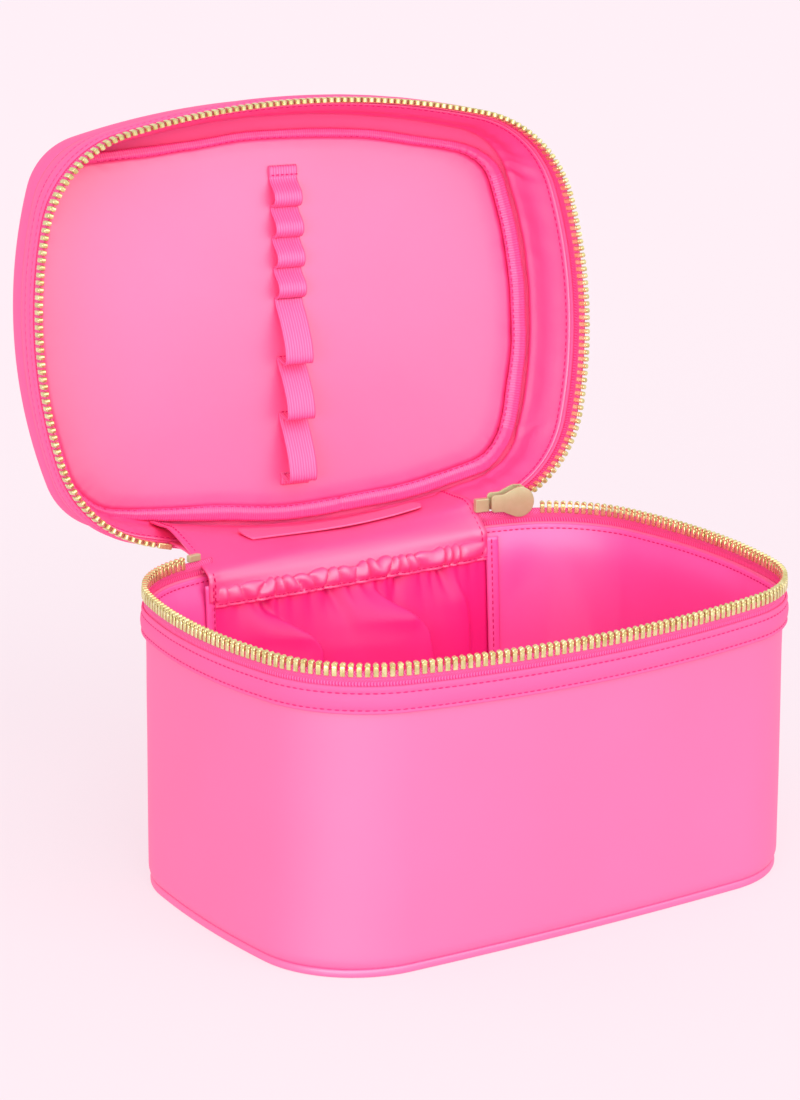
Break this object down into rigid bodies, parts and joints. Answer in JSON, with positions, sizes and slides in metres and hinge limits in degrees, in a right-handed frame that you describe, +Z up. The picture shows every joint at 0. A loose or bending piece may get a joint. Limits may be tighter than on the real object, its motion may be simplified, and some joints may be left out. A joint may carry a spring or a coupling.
{
  "type": "makeup train case",
  "caption": "Soft padded vanity case with a zipped hinged lid, gathered inside pocket, looped brush elastic and carry handle; stands open or shut to hold cosmetics.",
  "frame": {"origin": "middle of the base on the floor", "axes": "+X to the right along the hinge, +Y to the back where the hinge is, +Z up"},
  "size_m": [0.2498, 0.2774, 0.2975],
  "materials": {
    "coated_cloth_pink": "matte coated weave",
    "lining_cloth_pink": "smooth matte cloth",
    "padding_foam": "open cell foam",
    "stiffener_board": "matte sheet",
    "welt_pink": "matte coated cord",
    "woven_tape_pink": "herringbone weave",
    "grosgrain_pink": "ribbed weave",
    "elastic_pink": "ribbed knit",
    "zip_metal_gold": "polished light gold"
  },
  "bodies": {
    "case": {"base_panel": "coated_cloth_pink", "body_wall": "coated_cloth_pink", "body_rim_band": "coated_cloth_pink", "hinge_outer": "coated_cloth_pink", "base_lining": "lining_cloth_pink", "body_lining": "lining_cloth_pink", "pocket_panel": "lining_cloth_pink", "pocket_casing": "lining_cloth_pink", "hinge_panel": "lining_cloth_pink", "base_foam": "padding_foam", "body_foam": "padding_foam", "base_board": "stiffener_board", "base_piping": "welt_pink", "body_zip_tape": "woven_tape_pink", "pocket_tape_left": "woven_tape_pink", "pocket_tape_right": "woven_tape_pink", "pocket_elastic": "elastic_pink", "body_zip_teeth": "zip_metal_gold", "body_zip_stop": "zip_metal_gold", "zip_retainer": "zip_metal_gold"},
    "lid": {"lid_top": "coated_cloth_pink", "lid_wall": "coated_cloth_pink", "lid_board": "stiffener_board", "lid_foam": "padding_foam", "lid_panel": "lining_cloth_pink", "lid_wall_foam": "padding_foam", "lid_wall_lining": "lining_cloth_pink", "lid_binding": "grosgrain_pink", "lid_rim_band": "coated_cloth_pink", "lid_zip_tape": "woven_tape_pink", "lid_zip_teeth": "zip_metal_gold", "lid_zip_stop": "zip_metal_gold", "brush_elastic": "elastic_pink", "hinge_patch": "lining_cloth_pink", "carry_handle": "coated_cloth_pink", "handle_tabs": "coated_cloth_pink"},
    "slider": {"slider_body": "zip_metal_gold", "slider_crown": "zip_metal_gold"},
    "pull": {"pull_link": "zip_metal_gold", "pull_tab": "zip_metal_gold"}
  },
  "joints": [
    {"name": "lid_hinge", "type": "hinge", "parent": "case", "child": "lid", "pos_m": [0, 0.0906, 0.11525], "axis": [0.9941, -0.0816, 0.0719], "range_deg": [0, 97.5], "deforming": ["hinge_panel", "hinge_outer"]},
    {"name": "slider_run", "type": "hinge", "parent": "case", "child": "slider", "pos_m": [0.06841, 0.03513, 0.1242], "axis": [0, 0, -1], "range_deg": [0, 55]},
    {"name": "pull_swing", "type": "hinge", "parent": "slider", "child": "pull", "pos_m": [0.0815, 0.08907, 0.1242], "axis": [0.9718, -0.2358, 0], "range_deg": [0, 20]}
  ]
}
